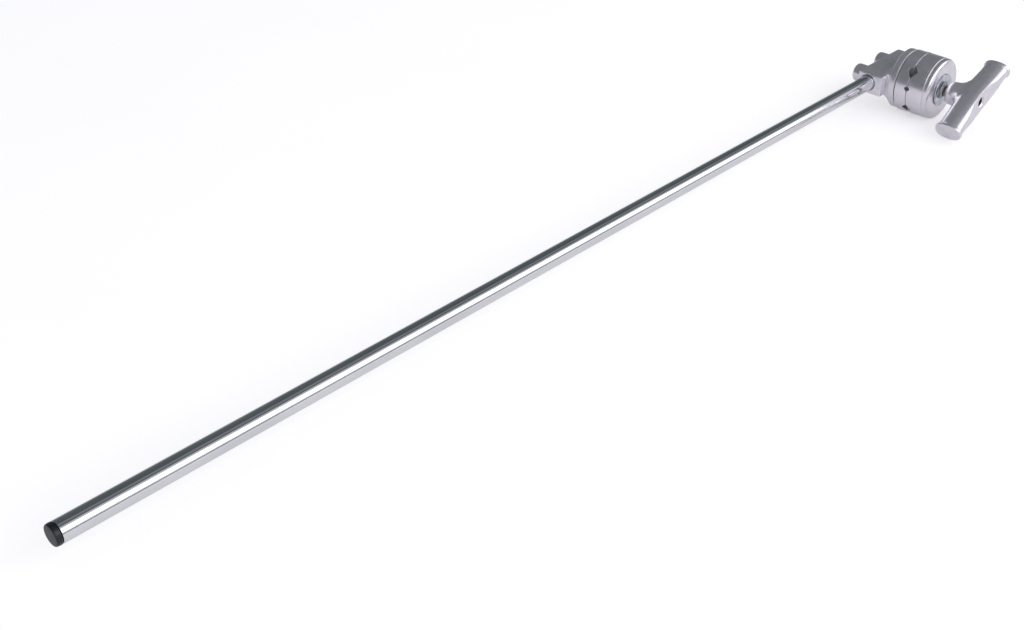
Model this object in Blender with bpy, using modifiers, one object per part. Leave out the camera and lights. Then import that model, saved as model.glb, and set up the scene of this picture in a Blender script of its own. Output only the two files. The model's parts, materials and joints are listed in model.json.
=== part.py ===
"""Extension arm with a grip head.

A chromed tube arm, 40 inches long over all, has a plastic plug in its free end and a grip head
fixed on the other. The head is a socket casting that holds the tube, two round jaws with four
pairs of V grooves, and a T handle whose screw pulls the jaws together against a spring.

The origin is the centre of the plug's outer face. X runs along the arm to the head, Z is up,
and the handle stands toward -Y. Lengths are metres.
"""

import math

import bmesh
import bpy
from mathutils import Matrix, Vector

INCH = 0.0254
MM = 0.001
GAP = 0.3 * MM

# The arm and its plug
ARM_LENGTH = 40.0 * INCH
TUBE_RADIUS = 0.5 * 0.625 * INCH
TUBE_WALL = 1.65 * MM
TUBE_SIDES = 32
CAP_FLANGE = 4.2 * MM
CAP_DEPTH = 20.0 * MM
CAP_SIDES = 24
CAP_RIB_COUNT = 3

# The head's frame: its axis is parallel to Y, and heights run from the jaws' parting plane
SOCKET_HALF_LENGTH = 40.0 * MM
HEAD_X = ARM_LENGTH - SOCKET_HALF_LENGTH
HEAD_OFFSET = 40.3 * MM
DISC_RADIUS = 0.5 * 2.5 * INCH
DISC_SIDES = 52
GROOVE_TURN = math.radians(14.0)
HANDLE_TURN = math.radians(19.0)

# Heights of the faces along the head's axis, handle side positive
BLOCK_BACK = -HEAD_OFFSET - 11.3 * MM
BLOCK_FRONT = -23.5 * MM
BOSS_END = -64.2 * MM
FLANGE_BACK = -22.0 * MM
FLANGE_FACE = -14.4 * MM
INNER_BACK = -13.2 * MM
PARTING_GAP = 0.25 * MM
OUTER_LINE = 17.6 * MM
OUTER_FACE = 23.5 * MM
HUB_END = 32.5 * MM
BAR_AXIS = 58.0 * MM

# The socket casting
BLOCK_HALF_THICKNESS = 11.25 * MM
BLOCK_ROUNDING = 2.2 * MM
FLANGE_RADIUS = 31.0 * MM
NECK_RADIUS = 27.0 * MM
NECK_HALF_THICKNESS = 9.75 * MM
COVE_RADIUS = 10.0 * MM
COVE_HALF_WIDTH = 29.0 * MM
BOSS_SPACING = 43.2 * MM
BOSS_RADIUS = 9.3 * MM
SET_SCREW_RADIUS = 3.9 * MM
SET_SCREW_LENGTH = 12.5 * MM
SET_SCREW_SOCKET = 4.0 * MM
BORE_CLEARANCE = 0.22 * MM

# The clamp screw, its bush and its stop
SCREW_RADIUS = 5.5 * MM
SCREW_PITCH = INCH / 14.0
SCREW_TURNS = 6
SCREW_INNER_END = -HEAD_OFFSET + TUBE_RADIUS + GAP
SCREW_OUTER_END = 57.0 * MM
SCREW_CLEARANCE = 0.3 * MM
BUSH_RADIUS = 9.0 * MM
BUSH_FACE = -14.8 * MM
STOP_RING_RADIUS = 7.2 * MM
STOP_RING_BACK = SCREW_INNER_END + 0.25 * MM
STOP_RING_THICKNESS = 0.8 * MM
BUSH_BACK = STOP_RING_BACK + STOP_RING_THICKNESS + SCREW_TURNS * SCREW_PITCH + GAP
STOP_CAVITY_RADIUS = 8.0 * MM
KEY_PIN_RADIUS = 1.4 * MM

# The V grooves, one pair for each rod size: width at the face, depth, distance from the axis
GROOVES = (
    ("five_eighths", 12.1 * MM, 5.1 * MM, 18.4 * MM, 180.0),
    ("half", 10.4 * MM, 4.9 * MM, 13.2 * MM, 270.0),
    ("three_eighths", 8.2 * MM, 4.0 * MM, 16.5 * MM, 0.0),
    ("quarter", 6.6 * MM, 3.2 * MM, 10.8 * MM, 90.0),
)

# What lies between and behind the jaws
WASHER_HOLE = 10.4 * MM
FRICTION_WASHER_RADIUS = 30.2 * MM
WASHER_SEAT = 0.28 * MM
SPRING_POCKET_RADIUS = 7.4 * MM
SPRING_POCKET_DEPTH = 6.0 * MM
SPRING_WIRE_RADIUS = 0.45 * MM
SPRING_RADIUS = 6.5 * MM
SPRING_COILS = 6
BUSHING_BACK = 7.2 * MM
BUSHING_WALL = 1.3 * MM
DOWEL_RADIUS = 2.0 * MM
DOWEL_INNER_END = -10.5 * MM
DOWEL_OUTER_END = 14.0 * MM
DOWEL_PLACES = (25.6 * MM, -27.3 * MM)
BEARING_POCKET_RADIUS = 12.5 * MM
BEARING_POCKET_FLOOR = 19.0 * MM
RACE_BORE = 6.1 * MM
RACE_RADIUS = 12.15 * MM
ROLLER_COUNT = 12
ROLLER_RADIUS = 0.95 * MM
ROLLER_LENGTH = 3.6 * MM
ROLLER_CIRCLE = 9.2 * MM
ROLLER_HEIGHT = 21.35 * MM
CAGE_BORE = 6.4 * MM
CAGE_RADIUS = 12.1 * MM
CAGE_HALF_THICKNESS = 0.6 * MM
WASHER_RADIUS = 16.6 * MM
WASHER_TOP = 25.1 * MM
NUT_ACROSS_FLATS = 17.5 * MM
NUT_TOP = 28.0 * MM
NUT_TURN = math.radians(11.0)

# The T handle
HUB_RADIUS = 12.0 * MM
HUB_NOSE = 4.0 * MM
HUB_BLEND = 12.0 * MM
BAR_HALF_LENGTH = 50.0 * MM
BAR_RADIUS = 12.6 * MM
BAR_END_RADIUS = 13.0 * MM
RIM_RADIUS = 13.9 * MM
RIM_WIDTH = 2.4 * MM
FACET_DEPTH = 8.7 * MM
FACET_SWEEP = 140.0 * MM
FACET_HALF_LENGTH = 34.0 * MM
FACET_HALF_WIDTH = 12.4 * MM
HANDLE_WEB = 3.6 * MM
HANDLE_SCREW_HEAD = 4.3 * MM
HANDLE_SCREW_SHANK = 2.5 * MM
HANDLE_SCREW_SOCKET = 5.0 * MM
HANDLE_PIN_RADIUS = 1.5 * MM
HANDLE_PIN_END = -7.0 * MM


def clear_scene():
    for item in list(bpy.data.objects):
        bpy.data.objects.remove(item, do_unlink=True)


def new_collection(name):
    collection = bpy.data.collections.new(name)
    bpy.context.scene.collection.children.link(collection)
    return collection


def metal(name, colour, roughness, metallic=1.0):
    material = bpy.data.materials.new(name)
    material.use_nodes = True
    shader = material.node_tree.nodes["Principled BSDF"]
    shader.inputs["Base Color"].default_value = (*colour, 1.0)
    shader.inputs["Roughness"].default_value = roughness
    shader.inputs["Metallic"].default_value = metallic
    return material


def add_empty(name, location, rotation, parent=None):
    empty = bpy.data.objects.new(name, None)
    empty.location = location
    empty.rotation_euler = rotation
    empty.parent = parent
    PARTS.objects.link(empty)
    return empty


def place(item, parent=None, location=(0.0, 0.0, 0.0), rotation=(0.0, 0.0, 0.0)):
    item.parent = parent
    item.location = location
    item.rotation_euler = rotation
    return item


def as_part(item, material):
    PARTS.objects.link(item)
    item.data.materials.append(material)
    return item


def as_cutter(item):
    item.display_type = "WIRE"
    item.hide_render = True
    CUTTERS.objects.link(item)
    return item


def turned(name, profile, steps, closed=False):
    """A profile of (radius, height) points, turned about the local Z axis.

    The points run down the outer side. A ring's profile is closed and comes back up inside.
    """
    mesh = bpy.data.meshes.new(name)
    points = [(radius, 0.0, height) for radius, height in profile]
    edges = [(i, i + 1) for i in range(len(points) - 1)]
    if closed:
        edges.append((len(points) - 1, 0))
    mesh.from_pydata(points, edges, [])
    item = bpy.data.objects.new(name, mesh)
    screw = item.modifiers.new("turn", "SCREW")
    screw.steps = steps
    screw.render_steps = steps
    screw.use_merge_vertices = True
    screw.merge_threshold = 0.00001
    return item


def ring(name, inner, outer, bottom, top, steps, chamfer=0.0):
    profile = [
        (outer - chamfer, top),
        (outer, top - chamfer),
        (outer, bottom + chamfer),
        (outer - chamfer, bottom),
        (inner, bottom),
        (inner, top),
    ]
    if chamfer == 0.0:
        profile = [(outer, top), (outer, bottom), (inner, bottom), (inner, top)]
    return turned(name, profile, steps, closed=True)


def rod(name, radius, bottom, top, steps, chamfer=0.0):
    profile = [(0.0, top), (radius - chamfer, top), (radius, top - chamfer)]
    profile += [(radius, bottom + chamfer), (radius - chamfer, bottom), (0.0, bottom)]
    if chamfer == 0.0:
        profile = [(0.0, top), (radius, top), (radius, bottom), (0.0, bottom)]
    return turned(name, profile, steps)


def arc(centre, radius, start, end, count):
    """Points on an arc from angle start to angle end, in degrees, both ends included."""
    points = []
    for i in range(count + 1):
        angle = math.radians(start + (end - start) * i / count)
        points.append((centre[0] + radius * math.cos(angle), centre[1] + radius * math.sin(angle)))
    return points


def extruded(name, outline, half_thickness):
    """A closed outline in the local XY plane, extruded both ways, as a welded mesh."""
    curve = bpy.data.curves.new(name, "CURVE")
    curve.dimensions = "2D"
    curve.fill_mode = "BOTH"
    curve.extrude = half_thickness
    spline = curve.splines.new("POLY")
    spline.points.add(len(outline) - 1)
    for point, (x, y) in zip(spline.points, outline):
        point.co = (x, y, 0.0, 1.0)
    spline.use_cyclic_u = True
    holder = bpy.data.objects.new(name + "_outline", curve)
    CUTTERS.objects.link(holder)
    graph = bpy.context.evaluated_depsgraph_get()
    mesh = bpy.data.meshes.new_from_object(holder.evaluated_get(graph))
    bpy.data.objects.remove(holder, do_unlink=True)
    bpy.data.curves.remove(curve)
    shape = bmesh.new()
    shape.from_mesh(mesh)
    bmesh.ops.remove_doubles(shape, verts=shape.verts, dist=0.000001)
    bmesh.ops.recalc_face_normals(shape, faces=shape.faces)
    shape.to_mesh(mesh)
    shape.free()
    mesh.name = name
    return bpy.data.objects.new(name, mesh)


def block(name, size, centre, rounding, segments=2):
    mesh = bpy.data.meshes.new(name)
    shape = bmesh.new()
    bmesh.ops.create_cube(shape, size=1.0)
    bmesh.ops.scale(shape, vec=Vector(size), verts=shape.verts)
    bmesh.ops.translate(shape, vec=Vector(centre), verts=shape.verts)
    shape.to_mesh(mesh)
    shape.free()
    item = bpy.data.objects.new(name, mesh)
    if rounding > 0.0:
        bevel = item.modifiers.new("rounding", "BEVEL")
        bevel.width = rounding
        bevel.segments = segments
    return item


def prism(name, sides, across_flats, bottom, top):
    """A regular prism about Z, with its flats toward +X when it has an even number of sides."""
    mesh = bpy.data.meshes.new(name)
    shape = bmesh.new()
    radius = 0.5 * across_flats / math.cos(math.pi / sides)
    centre = Matrix.Translation((0.0, 0.0, 0.5 * (bottom + top)))
    turn = Matrix.Rotation(math.pi / sides, 4, "Z")
    bmesh.ops.create_cone(
        shape,
        cap_ends=True,
        segments=sides,
        radius1=radius,
        radius2=radius,
        depth=top - bottom,
        matrix=centre @ turn,
    )
    shape.to_mesh(mesh)
    shape.free()
    return bpy.data.objects.new(name, mesh)


def combine(item, other, operation):
    boolean = item.modifiers.new(operation.lower() + "_" + other.name, "BOOLEAN")
    boolean.operation = operation
    boolean.object = other
    boolean.solver = "EXACT"


def cut(item, cutter):
    combine(item, cutter, "DIFFERENCE")


def join(item, other):
    combine(item, other, "UNION")


def make_arm_tube():
    inner = TUBE_RADIUS - TUBE_WALL
    start = CAP_FLANGE + GAP
    end = ARM_LENGTH - GAP
    tube = ring("arm_tube", inner, TUBE_RADIUS, start, end, TUBE_SIDES, 0.4 * MM)
    as_part(tube, CHROME)
    return place(tube, rotation=(0.0, math.pi / 2.0, 0.0))


def make_end_cap():
    """A moulded plug: a domed-edge flange, ribs that grip the tube, and a hollow core."""
    rim = 1.6 * MM
    bore = TUBE_RADIUS - TUBE_WALL
    rib = bore - 0.1 * MM
    stem = bore - 0.6 * MM
    core = 4.2 * MM
    tip = CAP_FLANGE + CAP_DEPTH
    profile = [(0.0, tip - 17.0 * MM), (core, tip - 17.0 * MM), (core, tip), (stem - 0.8 * MM, tip)]
    pitch = (CAP_DEPTH - 5.0 * MM) / CAP_RIB_COUNT
    for i in range(CAP_RIB_COUNT):
        top = tip - 1.5 * MM - i * pitch
        profile += [(stem, top), (rib, top - 1.2 * MM), (rib, top - 1.8 * MM), (stem, top - 2.2 * MM)]
    profile += [(stem, CAP_FLANGE), (TUBE_RADIUS, CAP_FLANGE)]
    profile += arc((TUBE_RADIUS - rim, rim), rim, 0.0, -90.0, 3)
    profile += [(0.0, 0.0)]
    cap = turned("end_cap", profile, CAP_SIDES)
    as_part(cap, BLACK_PLASTIC)
    return place(cap, rotation=(0.0, math.pi / 2.0, 0.0))


def socket_cove():
    """The two coves between the block and the flange's back, kept inside the flange's rim."""
    reach = BLOCK_HALF_THICKNESS + COVE_RADIUS
    inside = FLANGE_BACK + 2.0 * MM
    start = FLANGE_BACK - COVE_RADIUS
    upper = arc((start, reach), COVE_RADIUS, 0.0, -90.0, 6)
    lower = [(height, -side) for height, side in reversed(upper)]
    outline = [(inside, reach)] + upper + lower + [(inside, -reach)]
    web = extruded("socket_cove", outline, COVE_HALF_WIDTH)
    as_cutter(web)
    place(web, HEAD, rotation=(0.0, -math.pi / 2.0, 0.0))
    limit = rod("socket_cove_limit", FLANGE_RADIUS - 1.2 * MM, start - 1.0 * MM, inside + 1.0 * MM, 48)
    as_cutter(limit)
    place(limit, HEAD)
    combine(web, limit, "INTERSECT")
    return web


def make_arm_socket():
    """The casting: block, flange with its coves, two bosses, and the bores for tube and screw."""
    length = 2.0 * SOCKET_HALF_LENGTH
    depth = BLOCK_FRONT - BLOCK_BACK
    middle = 0.5 * (BLOCK_FRONT + BLOCK_BACK)
    socket = block(
        "arm_socket",
        (length, 2.0 * BLOCK_HALF_THICKNESS, depth),
        (0.0, 0.0, middle),
        BLOCK_ROUNDING,
    )
    as_part(socket, CAST_ALUMINIUM)
    place(socket, HEAD)
    join(socket, socket_cove())
    edge = 1.0 * MM
    flange = turned(
        "socket_flange",
        [
            (0.0, FLANGE_FACE),
            (FLANGE_RADIUS - 0.5 * MM, FLANGE_FACE),
            (FLANGE_RADIUS, FLANGE_FACE - 0.5 * MM),
            (FLANGE_RADIUS, FLANGE_BACK + edge),
            (FLANGE_RADIUS - edge, FLANGE_BACK),
            (0.0, FLANGE_BACK),
        ],
        DISC_SIDES,
    )
    as_cutter(flange)
    place(flange, HEAD)
    join(socket, flange)
    neck_low = BLOCK_FRONT - 2.0 * MM
    neck_high = FLANGE_BACK + 2.0 * MM
    neck = rod("socket_neck", NECK_RADIUS, neck_low, neck_high, DISC_SIDES)
    as_cutter(neck)
    place(neck, HEAD)
    strip_size = (2.0 * FLANGE_RADIUS, 2.0 * NECK_HALF_THICKNESS, 2.0 * (neck_high - neck_low))
    strip = block("socket_neck_strip", strip_size, (0.0, 0.0, 0.5 * (neck_low + neck_high)), 0.0)
    as_cutter(strip)
    place(strip, HEAD)
    combine(neck, strip, "INTERSECT")
    join(socket, neck)
    nose = 3.2 * MM
    boss_profile = [(0.0, BLOCK_BACK + 4.0 * MM), (BOSS_RADIUS, BLOCK_BACK + 4.0 * MM)]
    boss_profile += arc((BOSS_RADIUS - nose, BOSS_END + nose), nose, 0.0, -90.0, 3)
    boss_profile += [(0.0, BOSS_END)]
    for side in (-0.5, 0.5):
        boss = turned("socket_boss_%s" % ("near" if side < 0 else "far"), boss_profile, 28)
        as_cutter(boss)
        place(boss, HEAD, (side * BOSS_SPACING, 0.0, 0.0))
        join(socket, boss)
    cut_socket_bores(socket)
    return socket


def cut_socket_bores(socket):
    chamfer = 0.9 * MM
    bore = TUBE_RADIUS + BORE_CLEARANCE
    end = SOCKET_HALF_LENGTH
    tube_bore = turned(
        "socket_tube_bore",
        [
            (0.0, end + MM),
            (bore + chamfer + MM, end + MM),
            (bore, end - chamfer),
            (bore, -end + chamfer),
            (bore + chamfer + MM, -end - MM),
            (0.0, -end - MM),
        ],
        TUBE_SIDES,
    )
    as_cutter(tube_bore)
    place(tube_bore, HEAD, (0.0, 0.0, -HEAD_OFFSET), (0.0, math.pi / 2.0, 0.0))
    cut(socket, tube_bore)
    bush_hole = BUSH_RADIUS + GAP
    screw_bore = turned(
        "socket_screw_bore",
        [
            (0.0, FLANGE_FACE + MM),
            (bush_hole, FLANGE_FACE + MM),
            (bush_hole, BUSH_BACK - GAP),
            (STOP_CAVITY_RADIUS, BUSH_BACK - GAP),
            (STOP_CAVITY_RADIUS, -HEAD_OFFSET + TUBE_RADIUS - MM),
            (0.0, -HEAD_OFFSET + TUBE_RADIUS - MM),
        ],
        40,
    )
    as_cutter(screw_bore)
    place(screw_bore, HEAD)
    cut(socket, screw_bore)
    for side in (-0.5, 0.5):
        name = "socket_set_screw_hole_%s" % ("near" if side < 0 else "far")
        hole = turned(
            name,
            [
                (0.0, -HEAD_OFFSET - 2.0 * MM),
                (SET_SCREW_RADIUS + GAP, -HEAD_OFFSET - 2.0 * MM),
                (SET_SCREW_RADIUS + GAP, BOSS_END + 0.8 * MM),
                (SET_SCREW_RADIUS + GAP + 1.3 * MM, BOSS_END - 0.5 * MM),
                (0.0, BOSS_END - 0.5 * MM),
            ],
            28,
        )
        as_cutter(hole)
        place(hole, HEAD, (side * BOSS_SPACING, 0.0, 0.0))
        cut(socket, hole)
    cut(socket, KEY_HOLE)


def make_key_hole():
    hole = rod("key_pin_hole", KEY_PIN_RADIUS + GAP, BUSH_BACK + 1.0 * MM, FLANGE_FACE + MM, 16)
    as_cutter(hole)
    return place(hole, HEAD, (0.0, BUSH_RADIUS, 0.0))


def make_arm_set_screw(name, across):
    """A socket set screw with a cup point that presses on the tube."""
    tip = -HEAD_OFFSET - TUBE_RADIUS - GAP
    end = tip - SET_SCREW_LENGTH
    cup = 1.2 * MM
    screw = turned(
        name,
        [
            (0.0, tip - cup),
            (0.55 * SET_SCREW_RADIUS, tip),
            (0.7 * SET_SCREW_RADIUS, tip),
            (SET_SCREW_RADIUS, tip - cup),
            (SET_SCREW_RADIUS, end + 0.6 * MM),
            (SET_SCREW_RADIUS - 0.6 * MM, end),
            (0.0, end),
        ],
        24,
    )
    as_part(screw, BLACK_STEEL)
    place(screw, HEAD, (across, 0.0, 0.0))
    socket = prism(name + "_socket", 6, SET_SCREW_SOCKET, end - MM, end + 4.5 * MM)
    as_cutter(socket)
    place(socket, HEAD, (across, 0.0, 0.0))
    cut(screw, socket)
    return screw


def make_socket_thread_bush():
    bush = ring(
        "socket_thread_bush",
        SCREW_RADIUS + SCREW_CLEARANCE,
        BUSH_RADIUS,
        BUSH_BACK,
        BUSH_FACE,
        40,
        0.4 * MM,
    )
    as_part(bush, STEEL)
    place(bush, HEAD)
    cut(bush, KEY_HOLE)
    return bush


def make_bush_key_pin():
    pin = rod("bush_key_pin", KEY_PIN_RADIUS, BUSH_BACK + 1.3 * MM, BUSH_FACE - GAP, 16, 0.3 * MM)
    as_part(pin, STEEL)
    return place(pin, HEAD, (0.0, BUSH_RADIUS, 0.0))


def make_friction_washer():
    bottom = FLANGE_FACE + WASHER_SEAT
    top = INNER_BACK - WASHER_SEAT
    washer = ring("friction_washer", WASHER_HOLE, FRICTION_WASHER_RADIUS, bottom, top, DISC_SIDES)
    as_part(washer, FIBRE)
    return place(washer, HEAD)


def groove_cutters():
    """One long bar for each groove size, with a hexagonal section that spans both jaws."""
    bars = []
    for label, width, depth, distance, heading in GROOVES:
        floor = 0.5 * width - depth
        outline = [
            (0.5 * width, 0.0),
            (floor, depth),
            (-floor, depth),
            (-0.5 * width, 0.0),
            (-floor, -depth),
            (floor, -depth),
        ]
        bar = extruded("groove_" + label, outline, DISC_RADIUS + 2.0 * MM)
        as_cutter(bar)
        turn = math.radians(heading)
        place(bar, JAWS, (distance * math.cos(turn), distance * math.sin(turn), 0.0))
        bar.rotation_euler = (math.pi / 2.0, 0.0, turn)
        bars.append(bar)
    return bars


def dowel_holes():
    holes = []
    for index, along in enumerate(DOWEL_PLACES):
        hole = rod(
            "dowel_hole_%d" % (index + 1),
            DOWEL_RADIUS + 0.25 * MM,
            DOWEL_INNER_END - GAP,
            DOWEL_OUTER_END + 1.2 * MM,
            20,
        )
        as_cutter(hole)
        place(hole, JAWS, (along, 0.0, 0.0))
        holes.append(hole)
    return holes


def make_inner_jaw(grooves, holes):
    edge = 0.7 * MM
    bore = SCREW_RADIUS + SCREW_CLEARANCE
    pocket_floor = -SPRING_POCKET_DEPTH
    jaw = turned(
        "inner_jaw",
        [
            (DISC_RADIUS - edge, -PARTING_GAP),
            (DISC_RADIUS, -PARTING_GAP - edge),
            (DISC_RADIUS, INNER_BACK + edge),
            (DISC_RADIUS - edge, INNER_BACK),
            (bore, INNER_BACK),
            (bore, pocket_floor),
            (SPRING_POCKET_RADIUS, pocket_floor),
            (SPRING_POCKET_RADIUS, -PARTING_GAP),
        ],
        DISC_SIDES,
        closed=True,
    )
    as_part(jaw, POLISHED_ALUMINIUM)
    place(jaw, JAWS)
    for cutter in grooves + holes:
        cut(jaw, cutter)
    return jaw


def make_outer_jaw(grooves, holes):
    """The outer jaw: a fine turned line, a rounded front edge and the bearing's pocket."""
    edge = 0.7 * MM
    line = 0.35 * MM
    rounding = 3.5 * MM
    front = DISC_RADIUS - line
    profile = [(BEARING_POCKET_RADIUS + 0.3 * MM, OUTER_FACE)]
    profile += reversed(arc((front - rounding, OUTER_FACE - rounding), rounding, 0.0, 90.0, 4))
    profile += [
        (front, OUTER_LINE + 0.1 * MM),
        (DISC_RADIUS, OUTER_LINE - 0.25 * MM),
        (DISC_RADIUS, PARTING_GAP + edge),
        (DISC_RADIUS - edge, PARTING_GAP),
        (SPRING_POCKET_RADIUS, PARTING_GAP),
        (SPRING_POCKET_RADIUS, BEARING_POCKET_FLOOR),
        (BEARING_POCKET_RADIUS, BEARING_POCKET_FLOOR),
        (BEARING_POCKET_RADIUS, OUTER_FACE - 0.3 * MM),
    ]
    jaw = turned("outer_jaw", profile, DISC_SIDES, closed=True)
    as_part(jaw, POLISHED_ALUMINIUM)
    place(jaw, JAWS)
    for cutter in grooves + holes:
        cut(jaw, cutter)
    return jaw


def make_jaw_dowel(name, along):
    """A dowel that stands in the inner jaw and slides in the outer one."""
    dowel = rod(name, DOWEL_RADIUS, DOWEL_INNER_END, DOWEL_OUTER_END, 20, 0.5 * MM)
    as_part(dowel, STEEL)
    return place(dowel, JAWS, (along, 0.0, 0.0))


def make_jaw_spring():
    """One unbroken wire that rises evenly about the axis, as a plain helix."""
    points_per_coil = 9
    bottom = -SPRING_POCKET_DEPTH + SPRING_WIRE_RADIUS + GAP
    top = BUSHING_BACK - SPRING_WIRE_RADIUS - GAP
    coil_pitch = (top - bottom) / SPRING_COILS
    curve = bpy.data.curves.new("jaw_spring", "CURVE")
    curve.dimensions = "3D"
    curve.bevel_depth = SPRING_WIRE_RADIUS
    curve.bevel_resolution = 1
    curve.use_fill_caps = True
    spline = curve.splines.new("POLY")
    count = SPRING_COILS * points_per_coil + 1
    spline.points.add(count - 1)
    for i, point in enumerate(spline.points):
        turn = i / points_per_coil
        angle = 2.0 * math.pi * turn
        height = bottom + coil_pitch * turn
        point.co = (SPRING_RADIUS * math.cos(angle), SPRING_RADIUS * math.sin(angle), height, 1.0)
    spring = bpy.data.objects.new("jaw_spring", curve)
    PARTS.objects.link(spring)
    curve.materials.append(STEEL)
    coil_gap = coil_pitch - 2.0 * SPRING_WIRE_RADIUS
    print("jaw spring, least gap between coils in mm:", round(coil_gap / MM, 2))
    return place(spring, JAWS)


def make_outer_jaw_bushing():
    outer = SPRING_POCKET_RADIUS - 0.2 * MM
    bushing = ring(
        "outer_jaw_bushing",
        outer - BUSHING_WALL,
        outer,
        BUSHING_BACK,
        BEARING_POCKET_FLOOR,
        32,
        0.2 * MM,
    )
    as_part(bushing, BRONZE)
    return place(bushing, JAWS)


def make_bearing_race():
    bottom = BEARING_POCKET_FLOOR + 0.25 * MM
    top = ROLLER_HEIGHT - ROLLER_RADIUS - 0.2 * MM
    race = ring("bearing_race", RACE_BORE, RACE_RADIUS, bottom, top, 36, 0.2 * MM)
    as_part(race, STEEL)
    return place(race, JAWS)


def make_bearing_cage():
    """A flat ring with a window for each roller."""
    bottom = ROLLER_HEIGHT - CAGE_HALF_THICKNESS
    top = ROLLER_HEIGHT + CAGE_HALF_THICKNESS
    cage = ring("bearing_cage", CAGE_BORE, CAGE_RADIUS, bottom, top, 36)
    as_part(cage, BRONZE)
    place(cage, BEARING)
    for i in range(ROLLER_COUNT):
        window = block(
            "cage_window_%02d" % (i + 1),
            (ROLLER_LENGTH + 0.6 * MM, 2.0 * ROLLER_RADIUS + 0.3 * MM, 4.0 * MM),
            (ROLLER_CIRCLE, 0.0, ROLLER_HEIGHT),
            0.0,
        )
        as_cutter(window)
        place(window, BEARING, rotation=(0.0, 0.0, 2.0 * math.pi * i / ROLLER_COUNT))
        cut(cage, window)
    return cage


def make_bearing_rollers():
    """Twelve rollers that lie along the radii and share one mesh."""
    mesh = bpy.data.meshes.new("bearing_roller")
    shape = bmesh.new()
    bmesh.ops.create_cone(
        shape,
        cap_ends=True,
        segments=10,
        radius1=ROLLER_RADIUS,
        radius2=ROLLER_RADIUS,
        depth=ROLLER_LENGTH,
        matrix=Matrix.Rotation(math.pi / 2.0, 4, "Y"),
    )
    shape.to_mesh(mesh)
    shape.free()
    mesh.materials.append(STEEL)
    for i in range(ROLLER_COUNT):
        angle = 2.0 * math.pi * i / ROLLER_COUNT
        roller = bpy.data.objects.new("bearing_roller_%02d" % (i + 1), mesh)
        PARTS.objects.link(roller)
        spot = (ROLLER_CIRCLE * math.cos(angle), ROLLER_CIRCLE * math.sin(angle), ROLLER_HEIGHT)
        place(roller, BEARING, spot, (0.0, 0.0, angle))


def make_pressure_washer():
    """A stepped washer: its hub fills the bearing's pocket and its flange covers it."""
    hub = BEARING_POCKET_RADIUS - GAP
    bore = SCREW_RADIUS + SCREW_CLEARANCE
    underside = OUTER_FACE + 0.25 * MM
    washer = turned(
        "pressure_washer",
        [
            (WASHER_RADIUS - 0.6 * MM, WASHER_TOP),
            (WASHER_RADIUS, WASHER_TOP - 0.6 * MM),
            (WASHER_RADIUS, underside),
            (hub, underside),
            (hub, ROLLER_HEIGHT + ROLLER_RADIUS + 0.25 * MM),
            (bore, ROLLER_HEIGHT + ROLLER_RADIUS + 0.25 * MM),
            (bore, WASHER_TOP),
        ],
        48,
        closed=True,
    )
    as_part(washer, STEEL)
    return place(washer, SCREW)


def make_collar_nut():
    """A thin hexagon nut with its outer corners turned off."""
    nut = prism("collar_nut", 6, NUT_ACROSS_FLATS, WASHER_TOP + 0.25 * MM, NUT_TOP)
    as_part(nut, STEEL)
    place(nut, SCREW, rotation=(0.0, 0.0, NUT_TURN))
    corner = 0.5 * NUT_ACROSS_FLATS / math.cos(math.pi / 6.0)
    flat = 0.5 * NUT_ACROSS_FLATS
    limit = turned(
        "collar_nut_limit",
        [
            (0.0, NUT_TOP + 0.01 * MM),
            (flat - 0.1 * MM, NUT_TOP + 0.01 * MM),
            (corner + MM, NUT_TOP - 1.0 * MM),
            (corner + MM, WASHER_TOP),
            (0.0, WASHER_TOP),
        ],
        36,
    )
    as_cutter(limit)
    place(limit, SCREW)
    combine(nut, limit, "INTERSECT")
    hole = rod("collar_nut_hole", SCREW_RADIUS + GAP, WASHER_TOP - MM, NUT_TOP + MM, 36)
    as_cutter(hole)
    place(hole, SCREW)
    cut(nut, hole)
    return nut


def make_clamp_screw(handle_screw_hole, pin_hole):
    """The long screw, with a groove for its stop ring and a tapped hole in its outer end."""
    tip = 0.8 * MM
    neck = 4.7 * MM
    groove_low = STOP_RING_BACK - 0.1 * MM
    groove_high = STOP_RING_BACK + STOP_RING_THICKNESS + 0.15 * MM
    screw = turned(
        "clamp_screw",
        [
            (0.0, SCREW_OUTER_END),
            (SCREW_RADIUS - tip, SCREW_OUTER_END),
            (SCREW_RADIUS, SCREW_OUTER_END - tip),
            (SCREW_RADIUS, groove_high),
            (neck, groove_high),
            (neck, groove_low),
            (SCREW_RADIUS - 0.3 * MM, groove_low),
            (SCREW_RADIUS - 0.3 * MM, SCREW_INNER_END),
            (0.0, SCREW_INNER_END),
        ],
        40,
    )
    as_part(screw, ZINC_STEEL)
    place(screw, SCREW)
    cut(screw, handle_screw_hole)
    cut(screw, pin_hole)
    return screw


def make_stop_ring():
    """A snap ring in the screw's groove, open on one side."""
    snap = ring(
        "stop_ring",
        4.95 * MM,
        STOP_RING_RADIUS,
        STOP_RING_BACK,
        STOP_RING_BACK + STOP_RING_THICKNESS,
        36,
    )
    as_part(snap, BLACK_STEEL)
    place(snap, SCREW)
    slot = block("stop_ring_slot", (8.0 * MM, 7.2 * MM, 3.0 * MM), (6.0 * MM, 0.0, STOP_RING_BACK), 0.0)
    as_cutter(slot)
    place(slot, SCREW)
    cut(snap, slot)
    return snap


def bar_radius(along):
    """The bar swells a little from its middle to its ends."""
    share = min(1.0, abs(along) / (BAR_HALF_LENGTH - RIM_WIDTH))
    return BAR_RADIUS + (BAR_END_RADIUS - BAR_RADIUS) * share * share


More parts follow.
